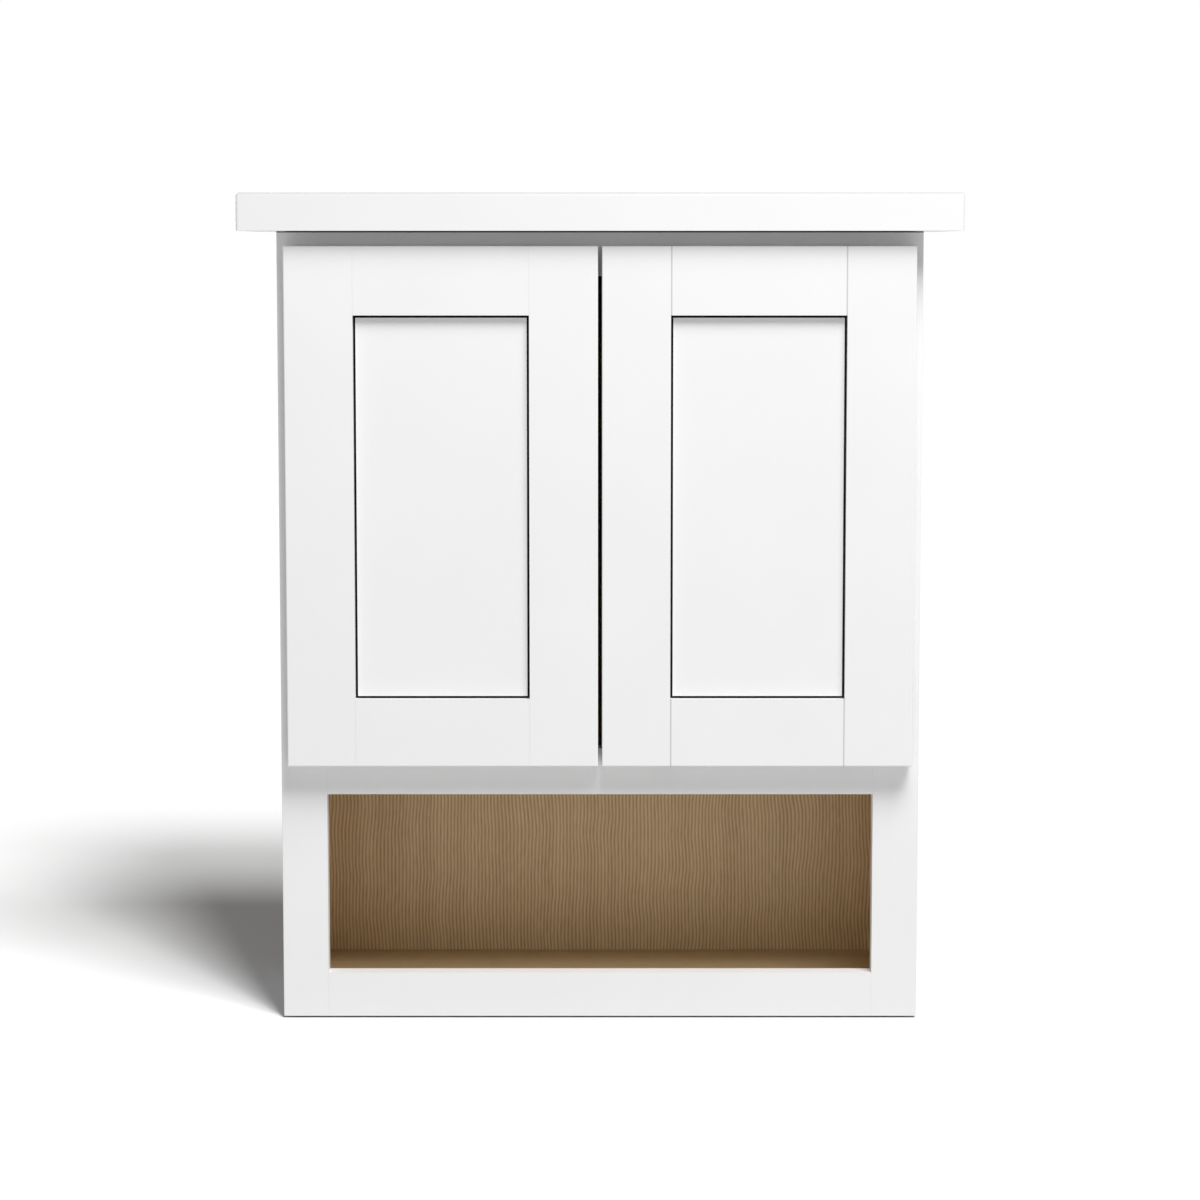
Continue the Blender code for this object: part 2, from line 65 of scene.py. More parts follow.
def hexColour(text):  # sRGB hex to the linear colour that shaders use
    parts = [int(text[i:i + 2], 16) / 255 for i in (1, 3, 5)]
    return (*[p / 12.92 if p <= 0.04045 else ((p + 0.055) / 1.055) ** 2.4 for p in parts], 1.0)


def addNode(tree, kind, settings=None, links=None):  # settings go to sockets, or else to the node itself
    node = tree.nodes.new(kind)
    for key, value in (settings or {}).items():
        if isinstance(key, int) or key in node.inputs:
            node.inputs[key].default_value = value
        else:
            setattr(node, key, value)
    for key, source in (links or {}).items():
        tree.links.new(source, node.inputs[key])
    return node


def newMaterial(name, constants=None):  # constants are what is the same all over the surface
    material = bpy.data.materials.new(name)
    material.use_nodes = True
    tree = material.node_tree
    shader = tree.nodes["Principled BSDF"]
    for socket, value in (constants or {}).items():
        shader.inputs[socket].default_value = value
    return material, tree, shader


def objectAxes(tree):  # place in metres on the part, and the way each face looks
    coords = addNode(tree, "ShaderNodeTexCoord")
    place = addNode(tree, "ShaderNodeSeparateXYZ", links={0: coords.outputs["Object"]})
    facing = addNode(tree, "ShaderNodeSeparateXYZ", links={0: coords.outputs["Normal"]})
    return coords.outputs["Object"], place.outputs, facing.outputs


def fibreScale(alongAxis, widthMm, lengthMm):  # pattern scale of fibres that run along one axis
    scale = [1000 / widthMm] * 3
    scale["XYZ".index(alongAxis)] = 1000 / lengthMm
    return scale


def sheetScale(acrossMm, alongMm):  # the same on a flat printed sheet
    return (1000 / acrossMm, 1000 / alongMm, 1)


def wear(tree, shader, look):  # a look is a colour, a roughness and a normal
    for socket, source in zip(("Base Color", "Roughness", "Normal"), look):
        tree.links.new(source, shader.inputs[socket])


# a Mix node's inputs: 0 is the share, 2 and 3 are numbers, 4 and 5 vectors, 6 and 7 colours

def joinLooks(tree, mask, first, second):  # where the mask is 1 the second look shows
    colour = addNode(tree, "ShaderNodeMix", {"data_type": "RGBA"}, {0: mask, 6: first[0], 7: second[0]})
    rough = addNode(tree, "ShaderNodeMix", {"data_type": "FLOAT"}, {0: mask, 2: first[1], 3: second[1]})
    normal = addNode(tree, "ShaderNodeMix", {"data_type": "VECTOR"}, {0: mask, 4: first[2], 5: second[2]})
    return colour.outputs[2], rough.outputs[0], normal.outputs[1]


def facesTowards(tree, facing, axis, sign):  # 1 on faces that look along the axis, 0 elsewhere
    signed = addNode(tree, "ShaderNodeMath", {"operation": "MULTIPLY", 1: sign}, {0: facing[axis]})
    towards = addNode(tree, "ShaderNodeMath", {"operation": "GREATER_THAN", 1: alongCosine},
                      {0: signed.outputs[0]})
    return towards.outputs[0]


def dress(material, *names):  # a CAD node keeps its mesh and gets a new finish
    for name in names:
        slots = nodes[name].data.materials
        slots.clear()
        slots.append(material)


# satin lacquer, sprayed white over sanded wood: even colour, faint orange peel, soft wide gloss

lacquer = {
    "bright": "#f3f3f3",
    "shade": "#efefef",
    "cloudMm": 90,          # slow drift of the sprayed coat
    "peelMm": 2.4,          # orange peel, a little coarser than real so that it shows
    "peelDepthMm": 0.012,
    "grainMm": 0.9,         # wood pores that the coat doesn't quite fill
    "grainLengthMm": 45,
    "grainDepthMm": 0.006,
    "roughness": (0.38, 0.46),
    "ior": 1.5,
}


def lacquerLook(tree, position, alongAxis):
    clouds = addNode(tree, "ShaderNodeTexNoise", {"Scale": 1000 / lacquer["cloudMm"], "Detail": 2.0},
                     {"Vector": position})
    colour = addNode(tree, "ShaderNodeMix", {"data_type": "RGBA", 6: hexColour(lacquer["shade"]),
                                             7: hexColour(lacquer["bright"])}, {0: clouds.outputs[0]})
    low, high = lacquer["roughness"]
    rough = addNode(tree, "ShaderNodeMapRange", {"To Min": low, "To Max": high}, {"Value": clouds.outputs[0]})
    peel = addNode(tree, "ShaderNodeTexNoise", {"Scale": 1000 / lacquer["peelMm"], "Detail": 1.0},
                   {"Vector": position})
    stretch = fibreScale(alongAxis, lacquer["grainMm"], lacquer["grainLengthMm"])
    fibres = addNode(tree, "ShaderNodeMapping", {"Scale": stretch}, {"Vector": position})
    grain = addNode(tree, "ShaderNodeTexNoise", {"Scale": 1.0, "Detail": 3.0}, {"Vector": fibres.outputs[0]})
    peelBump = addNode(tree, "ShaderNodeBump", {"Distance": lacquer["peelDepthMm"] / 1000, "Strength": 1.0},
                       {"Height": peel.outputs[0]})
    bump = addNode(tree, "ShaderNodeBump", {"Distance": lacquer["grainDepthMm"] / 1000, "Strength": 1.0},
                   {"Height": grain.outputs[0], "Normal": peelBump.outputs[0]})
    return colour.outputs[2], rough.outputs[0], bump.outputs[0]


def makeLacquer(name, alongAxis):
    material, tree, shader = newMaterial(name, {"IOR": lacquer["ior"]})
    position = addNode(tree, "ShaderNodeTexCoord").outputs["Object"]
    wear(tree, shader, lacquerLook(tree, position, alongAxis))
    return material


# lines of painted shade in the lacquer: near black in the groove round a door panel's field, standing for the
# groove's deep shadow;
# a dark line under the cap, where the cap meets the frame; and grey lines at the right door's joints, where
# the coat has sunk a little

panelGrooveShade = {"colour": "#050505", "roughness": 0.8, "startMm": 0.4}  # painted shade in the groove round the field; start is behind the field's front
# painted shade: a dark line on the frame where the cap sits on it
capShadeLine = {"colour": "#141414", "roughness": 0.8, "widthMm": 1.1}
# painted shade: grey lines where the right door's coat has sunk into the joints
doorJointShade = {"colour": "#cacaca", "roughness": 0.6, "widthMm": 1.2}


def drawShadeLine(tree, coat, mask, line):  # the coat with a darker, duller line of painted shade where the mask is 1
    colour = addNode(tree, "ShaderNodeMix", {"data_type": "RGBA", 7: hexColour(line["colour"])},
                     {0: mask, 6: coat[0]})
    rough = addNode(tree, "ShaderNodeMix", {"data_type": "FLOAT", 3: line["roughness"]},
                    {0: mask, 2: coat[1]})
    return colour.outputs[2], rough.outputs[0], coat[2]


def makePanelLacquer(name, node):  # the painted shade runs from just behind the field's front to half the depth
    material, tree, shader = newMaterial(name, {"IOR": lacquer["ior"]})
    position, place, _ = objectAxes(tree)
    fieldFront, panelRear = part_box(node)[0][1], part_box(node)[1][1]
    grooveStart = fieldFront + panelGrooveShade["startMm"] / 1000
    grooveEnd = (fieldFront + panelRear) / 2
    behind = addNode(tree, "ShaderNodeMath", {"operation": "GREATER_THAN", 1: grooveStart}, {0: place["Y"]})
    before = addNode(tree, "ShaderNodeMath", {"operation": "LESS_THAN", 1: grooveEnd}, {0: place["Y"]})
    inGroove = addNode(tree, "ShaderNodeMath", {"operation": "MULTIPLY"},
                       {0: behind.outputs[0], 1: before.outputs[0]})
    wear(tree, shader, drawShadeLine(tree, lacquerLook(tree, position, "Z"), inGroove.outputs[0], panelGrooveShade))
    return material


def makeShadeLineLacquer(name, alongAxis, line, lineAxis, low, high):  # painted shade lines below the low place, above the high
    material, tree, shader = newMaterial(name, {"IOR": lacquer["ior"]})
    position, place, _ = objectAxes(tree)
    below = addNode(tree, "ShaderNodeMath", {"operation": "LESS_THAN", 1: low}, {0: place[lineAxis]})
    above = addNode(tree, "ShaderNodeMath", {"operation": "GREATER_THAN", 1: high}, {0: place[lineAxis]})
    onShadeLine = addNode(tree, "ShaderNodeMath", {"operation": "MAXIMUM"},
                      {0: below.outputs[0], 1: above.outputs[0]})
    wear(tree, shader, drawShadeLine(tree, lacquerLook(tree, position, alongAxis), onShadeLine.outputs[0], line))
    return material


# printed maple foil on board: narrow wavy stripes along the grain, a satin face

foil = {
    "light": "#c2ae8c",
    "dark": "#917856",
    "sheetTone": 1.6,       # multiplies both colours
    "floorShadeTone": 1.18,      # the same foil made darker on the cubby floor, painted shade
    "stripeMm": 3.55,       # from one stripe to the next
    "wanderMm": 9.8,        # how far a stripe strays sideways
    "wanderAcrossMm": 85,
    "wanderAlongMm": 62,
    "fleckMm": 1.1,         # short darker pores
    "fleckLengthMm": 16,
    "bandMm": 17,           # broad pale and dark bands along the grain
    "bandLengthMm": 330,
    "stripeShare": (0.1, 0.8),
    "fleckShare": 0.75,
    "bandShare": 0.55,
    "darken": 0.625,
    "roughness": (0.42, 0.55),
    "reliefMm": 0.03,
    "reliefStrength": 0.6,
}


def foilLook(tree, across, along, tone):
    plane = addNode(tree, "ShaderNodeCombineXYZ", links={0: across, 1: along})
    slow = addNode(tree, "ShaderNodeMapping",
                   {"Scale": sheetScale(foil["wanderAcrossMm"], foil["wanderAlongMm"])},
                   {"Vector": plane.outputs[0]})
    wander = addNode(tree, "ShaderNodeTexNoise", {"Scale": 1.0, "Detail": 1.0, "Roughness": 0.35},
                     {"Vector": slow.outputs[0]})
    strayed = addNode(tree, "ShaderNodeMath", {"operation": "MULTIPLY_ADD", 1: foil["wanderMm"] / 1000},
                      {0: wander.outputs[0], 2: across})
    stripeTurns = 2 * math.pi * 1000 / foil["stripeMm"]
    phase = addNode(tree, "ShaderNodeMath", {"operation": "MULTIPLY", 1: stripeTurns},
                    {0: strayed.outputs[0]})
    wave = addNode(tree, "ShaderNodeMath", {"operation": "SINE"}, {0: phase.outputs[0]})
    fine = addNode(tree, "ShaderNodeMapping", {"Scale": sheetScale(foil["fleckMm"], foil["fleckLengthMm"])},
                   {"Vector": plane.outputs[0]})
    fleck = addNode(tree, "ShaderNodeTexNoise", {"Scale": 1.0, "Detail": 2.0}, {"Vector": fine.outputs[0]})
    broad = addNode(tree, "ShaderNodeMapping", {"Scale": sheetScale(foil["bandMm"], foil["bandLengthMm"])},
                    {"Vector": plane.outputs[0]})
    bands = addNode(tree, "ShaderNodeTexNoise", {"Scale": 1.0, "Detail": 2.0}, {"Vector": broad.outputs[0]})
    faint, strong = foil["stripeShare"]
    stripes = addNode(tree, "ShaderNodeMapRange",
                      {"From Min": -1.0, "From Max": 1.0, "To Min": faint, "To Max": strong},
                      {"Value": wave.outputs[0]})
    flecked = addNode(tree, "ShaderNodeMath", {"operation": "MULTIPLY_ADD", 1: foil["fleckShare"]},
                      {0: fleck.outputs[0], 2: stripes.outputs[0]})
    toned = addNode(tree, "ShaderNodeMath", {"operation": "MULTIPLY_ADD", 1: foil["bandShare"]},
                    {0: bands.outputs[0], 2: flecked.outputs[0]})
    share = addNode(tree, "ShaderNodeMath", {"operation": "SUBTRACT", 1: foil["darken"], "use_clamp": True},
                    {0: toned.outputs[0]})
    dark, light = [(*[tone * part for part in hexColour(foil[key])[:3]], 1) for key in ("dark", "light")]
    colour = addNode(tree, "ShaderNodeMix", {"data_type": "RGBA", 6: dark, 7: light}, {0: share.outputs[0]})
    low, high = foil["roughness"]
    rough = addNode(tree, "ShaderNodeMapRange", {"To Min": high, "To Max": low}, {"Value": fleck.outputs[0]})
    bump = addNode(tree, "ShaderNodeBump",
                   {"Distance": foil["reliefMm"] / 1000, "Strength": foil["reliefStrength"]},
                   {"Height": share.outputs[0]})
    return colour.outputs[2], rough.outputs[0], bump.outputs[0]


# raw board: the sawn edges and the rear of the back panel, dusty brown with short fibres

board = {
    "light": "#c4a67f",
    "dark": "#977550",
    "fibreMm": 1.2,
    "fibreLengthMm": 22,
    "roughness": (0.7, 0.85),
    "reliefMm": 0.06,
    "reliefStrength": 0.7,
}


def boardLook(tree, position, alongAxis):
    stretch = fibreScale(alongAxis, board["fibreMm"], board["fibreLengthMm"])
    fibres = addNode(tree, "ShaderNodeMapping", {"Scale": stretch}, {"Vector": position})
    grain = addNode(tree, "ShaderNodeTexNoise", {"Scale": 1.0, "Detail": 4.0, "Roughness": 0.6},
                    {"Vector": fibres.outputs[0]})
    colour = addNode(tree, "ShaderNodeMix", {"data_type": "RGBA", 6: hexColour(board["dark"]),
                                             7: hexColour(board["light"])}, {0: grain.outputs[0]})
    low, high = board["roughness"]
    rough = addNode(tree, "ShaderNodeMapRange", {"To Min": low, "To Max": high}, {"Value": grain.outputs[0]})
    bump = addNode(tree, "ShaderNodeBump",
                   {"Distance": board["reliefMm"] / 1000, "Strength": board["reliefStrength"]},
                   {"Height": grain.outputs[0]})
    return colour.outputs[2], rough.outputs[0], bump.outputs[0]


def makeFoilPanel(name, acrossAxis, alongAxis, tone):  # foil on the faces, raw board towards the wall
    material, tree, shader = newMaterial(name)
    position, place, facing = objectAxes(tree)
    faces = foilLook(tree, place[acrossAxis], place[alongAxis], tone)
    raw = boardLook(tree, position, alongAxis)
    wear(tree, shader, joinLooks(tree, facesTowards(tree, facing, "Y", 1), faces, raw))
    return material


def makeSidePanel(name, outward):  # lacquer outside and on the edges, maple foil inside
    material, tree, shader = newMaterial(name, {"IOR": lacquer["ior"]})
    position, place, facing = objectAxes(tree)
    outside = lacquerLook(tree, position, "Z")
    inside = foilLook(tree, place["Y"], place["Z"], foil["sheetTone"])
    wear(tree, shader, joinLooks(tree, facesTowards(tree, facing, "X", -outward), outside, inside))
    return material


# bare plywood of the hanging rails: long face grain, and plies that show on the sawn edges

plywood = {
    "plyMm": 2.54,
    "darkPly": "#8a6a48",
    "lightPly": "#cdb08a",
    "glueLine": 0.3,        # how softly one ply changes to the next
}


def makePlywood(name):
    material, tree, shader = newMaterial(name)
    position, place, facing = objectAxes(tree)
    face = boardLook(tree, position, "X")
    plyTurns = math.pi * 1000 / plywood["plyMm"]
    phase = addNode(tree, "ShaderNodeMath", {"operation": "MULTIPLY", 1: plyTurns}, {0: place["Y"]})
    wave = addNode(tree, "ShaderNodeMath", {"operation": "SINE"}, {0: phase.outputs[0]})
    plies = addNode(tree, "ShaderNodeMapRange",
                    {"From Min": -plywood["glueLine"], "From Max": plywood["glueLine"]},
                    {"Value": wave.outputs[0]})
    layers = addNode(tree, "ShaderNodeMix", {"data_type": "RGBA", 6: hexColour(plywood["darkPly"]),
                                             7: hexColour(plywood["lightPly"])}, {0: plies.outputs[0]})
    upright = addNode(tree, "ShaderNodeMath", {"operation": "ABSOLUTE"}, {0: facing["Y"]})
    onEdge = addNode(tree, "ShaderNodeMath", {"operation": "LESS_THAN", 1: alongCosine},
                     {0: upright.outputs[0]})
    wear(tree, shader, joinLooks(tree, onEdge.outputs[0], face, (layers.outputs[2], face[1], face[2])))
    return material


# nickel plate on pressed steel: pale warm metal, rolled lines and a slightly uneven polish

nickel = {
    "colour": "#dcd8d0",
    "roughness": (0.27, 0.42),
    "blotchMm": 9,
    "lineMm": 0.35,
    "lineLengthMm": 12,
    "lineDepthMm": 0.004,
}


def makeNickel(name, alongAxis):
    material, tree, shader = newMaterial(name, {"Metallic": 1.0, "Base Color": hexColour(nickel["colour"])})
    position = addNode(tree, "ShaderNodeTexCoord").outputs["Object"]
    blotch = addNode(tree, "ShaderNodeTexNoise", {"Scale": 1000 / nickel["blotchMm"], "Detail": 3.0},
                     {"Vector": position})
    low, high = nickel["roughness"]
    rough = addNode(tree, "ShaderNodeMapRange", {"To Min": low, "To Max": high}, {"Value": blotch.outputs[0]})
    stretch = fibreScale(alongAxis, nickel["lineMm"], nickel["lineLengthMm"])
    rolled = addNode(tree, "ShaderNodeMapping", {"Scale": stretch}, {"Vector": position})
    lines = addNode(tree, "ShaderNodeTexNoise", {"Scale": 1.0, "Detail": 2.0}, {"Vector": rolled.outputs[0]})
    bump = addNode(tree, "ShaderNodeBump", {"Distance": nickel["lineDepthMm"] / 1000, "Strength": 1.0},
                   {"Height": lines.outputs[0]})
    tree.links.new(rough.outputs[0], shader.inputs["Roughness"])
    tree.links.new(bump.outputs[0], shader.inputs["Normal"])
    return material


# cast polyurethane pad: cloudy clear, soft gloss

pad = {"colour": "#e6e9e6", "roughness": (0.25, 0.45), "cloudMm": 3, "ior": 1.49, "clear": 0.55}


def makePad(name):
    material, tree, shader = newMaterial(name, {"Base Color": hexColour(pad["colour"]), "IOR": pad["ior"],
                                                "Transmission Weight": pad["clear"]})
    position = addNode(tree, "ShaderNodeTexCoord").outputs["Object"]
    clouds = addNode(tree, "ShaderNodeTexNoise", {"Scale": 1000 / pad["cloudMm"], "Detail": 2.0},
                     {"Vector": position})
    low, high = pad["roughness"]
    rough = addNode(tree, "ShaderNodeMapRange", {"To Min": low, "To Max": high}, {"Value": clouds.outputs[0]})
    tree.links.new(rough.outputs[0], shader.inputs["Roughness"])
    return material


# every CAD node gets its finish

lacquerUpright = makeLacquer("satin_lacquer_upright", "Z")
lacquerLevel = makeLacquer("satin_lacquer_level", "X")
panelFinish = makePanelLacquer("satin_lacquer_with_painted_groove_shade", "left_door_panel")
nickelUpright = makeNickel("nickel_plate_upright", "Z")
nickelLevel = makeNickel("nickel_plate_level", "X")
padFinish = makePad("cast_polyurethane")
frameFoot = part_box("frame_left_stile")[0][2]  # no line at this end
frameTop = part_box("frame_left_stile")[1][2] - capShadeLine["widthMm"] / 1000
# a line of painted shade along the frame's top, under the cap
dress(makeShadeLineLacquer("satin_lacquer_upright_cap_shade_line", "Z", capShadeLine, "Z", frameFoot, frameTop),
      "frame_left_stile", "frame_right_stile")
dress(makeShadeLineLacquer("satin_lacquer_level_cap_shade_line", "X", capShadeLine, "Z", frameFoot, frameTop),
      "frame_top_rail")
dress(lacquerLevel, "frame_mid_rail", "frame_bottom_rail", "top_cap")
dress(makeFoilPanel("maple_foil_back", "X", "Z", foil["sheetTone"]), "back_panel")
dress(makeFoilPanel("maple_foil_deck", "Y", "X", foil["sheetTone"]), "door_bay_deck", "top_panel")
# the cubby floor's foil is darker than the back's: painted shade
dress(makeFoilPanel("maple_foil_floor", "Y", "X", foil["floorShadeTone"]), "cubby_floor")
dress(makePlywood("bare_plywood"), "upper_hanging_rail", "lower_hanging_rail")
for side, outward in sides.items():
    dress(makeSidePanel("lacquer_and_maple_foil_" + side, outward), "side_panel_" + side)
    door = side + "_door_"
    dress(lacquerUpright, door + "hinge_stile", door + "lock_stile")
    dress(lacquerLevel, door + "top_rail", door + "bottom_rail")
    dress(panelFinish, door + "panel")
    for level in levels:
        hinge = side + "_" + level + "_hinge_"
        dress(nickelUpright, hinge + "base", hinge + "pin")
        dress(nickelLevel, hinge + "cup", hinge + "arm")
        dress(padFinish, door + level + "_bumper")
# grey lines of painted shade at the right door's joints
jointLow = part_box("right_door_lock_stile")[1][0] + doorJointShade["widthMm"] / 1000
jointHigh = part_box("right_door_hinge_stile")[0][0] - doorJointShade["widthMm"] / 1000
dress(makeShadeLineLacquer("satin_lacquer_level_joint_shade_lines", "X", doorJointShade, "X", jointLow, jointHigh),
      "right_door_top_rail", "right_door_bottom_rail")  # the left door's joints are tight
print("finishes on", len(nodes), "nodes")


# pan head wood screws: a low dome with a cross recess, one shape for all of them

screw = {  # the profile is radius and height, from the middle of the top to the foot
    "profile": ((0.0, 1.0), (0.16, 1.0), (0.56, 1.0), (0.86, 0.82), (1.0, 0.38), (1.0, -0.1), (0.0, -0.1)),
    "topShare": 0.99,       # faces above this share of the height are the flat top
    "crossCore": 0.16,      # of the head's radius
    "crossReach": 0.56,     # of the head's radius
    "crossArmDegrees": 15,  # either side of an arm's middle
    "crossDepth": 0.6,      # of the head's height
    "crossTaper": 0.8,
    "sides": 24,
    "smoothDegrees": 35,
}


def addPiece(name, shape, material, body, smoothDegrees):
    mesh = bpy.data.meshes.new(name)
    shape.to_mesh(mesh)
    shape.free()
    mesh.shade_smooth()
    mesh.set_sharp_from_angle(angle=math.radians(smoothDegrees))
    mesh.materials.append(material)
    piece = bpy.data.objects.new(name, mesh)
    bpy.context.scene.collection.objects.link(piece)
    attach(piece, body)


def addScrew(name, place, facing, radiusMm, heightMm, body):
    radius, height = radiusMm / 1000, heightMm / 1000
    shape = bmesh.new()
    verts = [shape.verts.new((radius * out, 0, height * up)) for out, up in screw["profile"]]
    edges = [shape.edges.new(pair) for pair in zip(verts, verts[1:])]
    bmesh.ops.spin(shape, geom=verts + edges, cent=(0, 0, 0), axis=(0, 0, 1), dvec=(0, 0, 0),
                   angle=2 * math.pi, steps=screw["sides"], use_merge=True)
    bmesh.ops.remove_doubles(shape, verts=shape.verts, dist=radius / 1000)
    bmesh.ops.recalc_face_normals(shape, faces=shape.faces)
    cross = []
    for face in shape.faces:
        centre = face.calc_center_median()
        reach = math.hypot(centre.x, centre.y)
        offArm = abs((math.degrees(math.atan2(centre.y, centre.x)) + 45) % 90 - 45)  # from the nearest arm
        onTop = centre.z > screw["topShare"] * height and reach < screw["crossReach"] * radius
        if onTop and (reach < screw["crossCore"] * radius or offArm < screw["crossArmDegrees"]):
            cross.append(face)
    sunk = bmesh.ops.extrude_face_region(shape, geom=cross)["geom"]
    floor = [item for item in sunk if isinstance(item, bmesh.types.BMVert)]
    bmesh.ops.translate(shape, vec=(0, 0, -screw["crossDepth"] * height), verts=floor)
    bmesh.ops.scale(shape, vec=(screw["crossTaper"], screw["crossTaper"], 1), verts=floor)
    bmesh.ops.delete(shape, geom=[face for face in cross if face.is_valid], context="FACES")
    turn = Vector((0, 0, 1)).rotation_difference(Vector(facing)).to_matrix()
    bmesh.ops.rotate(shape, cent=(0, 0, 0), matrix=turn, verts=shape.verts)
    bmesh.ops.translate(shape, vec=place, verts=shape.verts)
    addPiece(name, shape, nickelLevel, body, screw["smoothDegrees"])


# each hinge: two screws through the cup's flange, two through the base, one that clamps the arm

hingeScrews = {
    "cupRadiusMm": 3.5, "cupHeightMm": 1.0, "cupInsetMm": 9.0, "cupSpreadMm": 22.5,
    "baseRadiusMm": 3.5, "baseHeightMm": 1.2, "baseInsetMm": 7.0, "baseSpreadMm": 15.2,
    "armRadiusMm": 4.0, "armHeightMm": 1.6, "armInsetMm": 6.2,
}

for side, outward in sides.items():
    inward = (-outward, 0, 0)
    for level in levels:
        hinge = side + "_" + level + "_hinge_"
        innerX = {}
        for piece in ("cup", "base", "arm"):
            low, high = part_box(hinge + piece)
            innerX[piece] = low[0] if outward > 0 else high[0]
        cupHigh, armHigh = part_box(hinge + "cup")[1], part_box(hinge + "arm")[1]
        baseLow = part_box(hinge + "base")[0]
        middle = (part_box(hinge + "cup")[0][2] + cupHigh[2]) / 2
        for end, sign in (("low", -1), ("high", 1)):
            cupPlace = (innerX["cup"] + outward * hingeScrews["cupInsetMm"] / 1000, cupHigh[1],
                        middle + sign * hingeScrews["cupSpreadMm"] / 1000)
            addScrew(hinge + "cup_screw_" + end, cupPlace, (0, 1, 0), hingeScrews["cupRadiusMm"],
                     hingeScrews["cupHeightMm"], side + "_door")
            basePlace = (innerX["base"], baseLow[1] + hingeScrews["baseInsetMm"] / 1000,
                         middle + sign * hingeScrews["baseSpreadMm"] / 1000)
            addScrew(hinge + "base_screw_" + end, basePlace, inward, hingeScrews["baseRadiusMm"],
                     hingeScrews["baseHeightMm"], "carcass")
        armPlace = (innerX["arm"], armHigh[1] - hingeScrews["armInsetMm"] / 1000, middle)
        addScrew(hinge + "arm_screw", armPlace, inward, hingeScrews["armRadiusMm"],
                 hingeScrews["armHeightMm"], "carcass")


# the cap is screwed on from below, through the top panel: columns and rows are metres along X and Y

capScrews = {"radiusMm": 4.0, "heightMm": 1.8, "columns": (-0.21, 0.0, 0.21), "rows": (-0.15, -0.05)}

for row, y in zip(("front", "back"), capScrews["rows"]):
    for column, x in zip(("left", "middle", "right"), capScrews["columns"]):
        addScrew("cap_screw_" + row + "_" + column, (x, y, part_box("top_panel")[0][2]), (0, 0, -1),
                 capScrews["radiusMm"], capScrews["heightMm"], "carcass")


# crown staples that hold the back panel to the deck: bent wire, driven almost flush

staple = {
    "crownMm": 11.0,
    "wireMm": 1.3,
    "proudMm": 0.45,
    "roundMm": 0.4,
    "count": 7,
    "spacing": 0.08,        # metres from one to the next
    "tiltDegrees": 4,
}

deckLow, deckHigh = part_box("door_bay_deck")
for index in range(staple["count"]):
    shape = bmesh.new()
    bmesh.ops.create_cube(shape, size=1.0)
    wireSize = (staple["crownMm"] / 1000, 2 * staple["proudMm"] / 1000, staple["wireMm"] / 1000)
    bmesh.ops.scale(shape, vec=wireSize, verts=shape.verts)
    bmesh.ops.bevel(shape, geom=shape.edges, offset=staple["roundMm"] / 1000, affect="EDGES", segments=3,
                    profile=0.5, material=-1)
    tilt = math.radians(staple["tiltDegrees"] * (index % 3 - 1))  # driven by hand, so never quite level
    crownWay = Vector((math.cos(tilt), 0, math.sin(tilt)))
    bmesh.ops.rotate(shape, cent=(0, 0, 0), matrix=crownWay.to_track_quat("X", "Z").to_matrix(),
                     verts=shape.verts)
    across = (index - (staple["count"] - 1) / 2) * staple["spacing"]
    staplePlace = (across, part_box("back_panel")[1][1], (deckLow[2] + deckHigh[2]) / 2)
    bmesh.ops.translate(shape, vec=staplePlace, verts=shape.verts)
    addPiece("back_staple_" + str(index + 1), shape, nickelLevel, "carcass",
             screw["smoothDegrees"])
print("screws and staples in place")


# studio: a wide softbox for the cabinet, a lower one for its cap so that the top doesn't burn out, one behind
# it for the back, and two suns that light only the floor and give it the photograph's long soft shadow

studio = {
    "aim": (0.0, -0.1, -0.35),
    "ambient": 0.32,
    "keyAzimuth": 26, "keyElevation": 56.5, "keyDistance": 3.5, "keySize": (1.75, 1.54), "keyPower": 129,
    "capAzimuth": 20, "capElevation": 30, "capDistance": 3.5, "capSize": (1.75, 1.54), "capPower": 78,
    "backAzimuth": -155, "backElevation": 15, "backDistance": 5.0, "backSize": (2.4, 1.8), "backPower": 95,
    "longSunAzimuth": 21, "longSunElevation": 42, "longSunSpread": 13, "longSunStrength": 4.0,
    "shortSunAzimuth": 35, "shortSunElevation": 53, "shortSunSpread": 16, "shortSunStrength": 3.05,
    "sunDistance": 1.0,     # makes no difference to its light
    "floorDropMm": 2.0,     # a thin dark line shows under the cabinet
    "floorHalf": 14.0,
    "floorColour": "#bfbfbf",
    "bounceNear": "#a9a9a9",  # what the cabinet gets back from the floor, near by and far off
    "bounceFar": "#6c6c6c",
    "bounceStart": 1.0,     # metres from the origin
    "bounceReach": 4.0,
}


def straightRay(tree):  # 1 for what the camera sees, also by way of metal or glass
    path = addNode(tree, "ShaderNodeLightPath")
    mirrored = addNode(tree, "ShaderNodeMath", {"operation": "MAXIMUM"},
                       {0: path.outputs["Is Camera Ray"], 1: path.outputs["Is Glossy Ray"]})
    through = addNode(tree, "ShaderNodeMath", {"operation": "MAXIMUM"},
                      {0: mirrored.outputs[0], 1: path.outputs["Is Transmission Ray"]})
    return through.outputs[0]


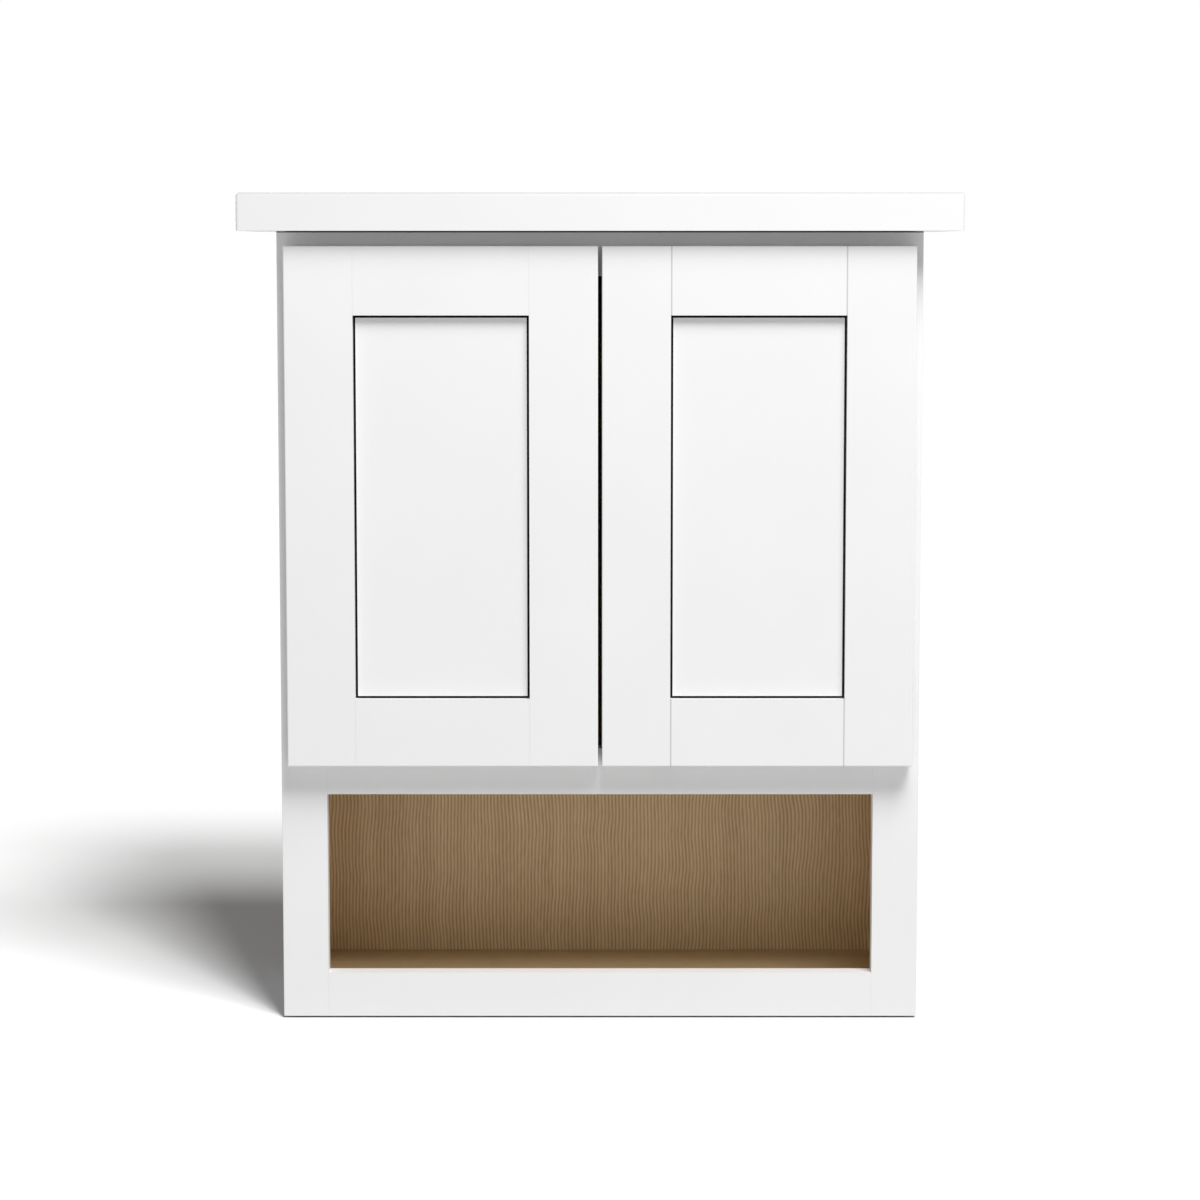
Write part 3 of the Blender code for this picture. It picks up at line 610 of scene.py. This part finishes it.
def makeFloor():
    shape = bmesh.new()
    bmesh.ops.create_grid(shape, x_segments=2, y_segments=2, size=studio["floorHalf"])
    bmesh.ops.translate(shape, vec=(0, 0, cadBox[0][2] - studio["floorDropMm"] / 1000), verts=shape.verts)
    mesh = bpy.data.meshes.new("studio_floor")
    shape.to_mesh(mesh)
    shape.free()
    floor = bpy.data.objects.new("studio_floor", mesh)
    bpy.context.scene.collection.objects.link(floor)
    material, tree, shader = newMaterial("white_studio_floor")
    tree.nodes.remove(shader)
    seen = addNode(tree, "ShaderNodeBsdfDiffuse", {"Color": hexColour(studio["floorColour"])})
    coords = addNode(tree, "ShaderNodeTexCoord")
    away = addNode(tree, "ShaderNodeVectorMath", {"operation": "LENGTH"}, {0: coords.outputs["Object"]})
    fade = addNode(tree, "ShaderNodeMapRange",
                   {"From Min": studio["bounceStart"], "From Max": studio["bounceReach"]},
                   {"Value": away.outputs["Value"]})
    returned = addNode(tree, "ShaderNodeMix", {"data_type": "RGBA", 6: hexColour(studio["bounceNear"]),
                                               7: hexColour(studio["bounceFar"])}, {0: fade.outputs[0]})
    bounce = addNode(tree, "ShaderNodeBsdfDiffuse", links={"Color": returned.outputs[2]})
    both = addNode(tree, "ShaderNodeMixShader",
                   links={0: straightRay(tree), 1: bounce.outputs[0], 2: seen.outputs[0]})
    tree.links.new(both.outputs[0], tree.nodes["Material Output"].inputs["Surface"])
    mesh.materials.append(material)
    return floor


def makeWorld():  # white to the camera, and a dimmer even light on everything
    world = bpy.data.worlds.new("white_studio")
    bpy.context.scene.world = world
    world.use_nodes = True
    tree = world.node_tree
    strength = addNode(tree, "ShaderNodeMapRange", {"To Min": studio["ambient"], "To Max": 1.0},
                       {"Value": straightRay(tree)})
    tree.nodes["Background"].inputs["Color"].default_value = (1, 1, 1, 1)
    tree.links.new(strength.outputs[0], tree.nodes["Background"].inputs["Strength"])


def addLamp(name, kind, state, *targets):  # the lamp leaves out the targets, or lights nothing else
    lamp = bpy.data.lights.new(name + "_lamp", kind)
    if kind == "SUN":
        lamp.energy = studio[name + "Strength"]
        lamp.angle = math.radians(studio[name + "Spread"])
        distance = studio["sunDistance"]
    else:
        lamp.shape = "RECTANGLE"
        lamp.size, lamp.size_y = studio[name + "Size"]
        lamp.energy = studio[name + "Power"]
        distance = studio[name + "Distance"]
    holder = bpy.data.objects.new(name + "_lamp", lamp)
    turn, rise = math.radians(studio[name + "Azimuth"]), math.radians(studio[name + "Elevation"])
    outward = Vector((math.sin(turn) * math.cos(rise), -math.cos(turn) * math.cos(rise), math.sin(rise)))
    holder.location = Vector(studio["aim"]) + outward * distance
    holder.rotation_euler = outward.to_track_quat("Z", "Y").to_euler()
    bpy.context.scene.collection.objects.link(holder)
    receivers = bpy.data.collections.new(name + "_receivers")
    holder.light_linking.receiver_collection = receivers
    for target in targets:
        receivers.objects.link(target)
    for member in receivers.collection_objects:
        member.light_linking.link_state = state


studioFloor = makeFloor()
makeWorld()
addLamp("key", "AREA", "EXCLUDE", studioFloor, nodes["top_cap"])
addLamp("cap", "AREA", "INCLUDE", nodes["top_cap"])
addLamp("back", "AREA", "EXCLUDE", studioFloor)
addLamp("longSun", "SUN", "INCLUDE", studioFloor)
addLamp("shortSun", "SUN", "INCLUDE", studioFloor)
print("studio ready")


# camera fitted to the photograph

view = {"lensMm": 100, "sensorMm": 36, "place": (0.0, -3.3593, 0.0257), "downDegrees": 6.089}

lens = bpy.data.cameras.new("photo_camera")
lens.lens = view["lensMm"]
lens.sensor_width = view["sensorMm"]
camera = bpy.data.objects.new("photo_camera", lens)
camera.location = view["place"]
camera.rotation_euler = (math.radians(90 - view["downDegrees"]), 0, 0)
bpy.context.scene.collection.objects.link(camera)
bpy.context.scene.camera = camera
bpy.context.scene.view_settings.view_transform = "Standard"
print("camera ready")
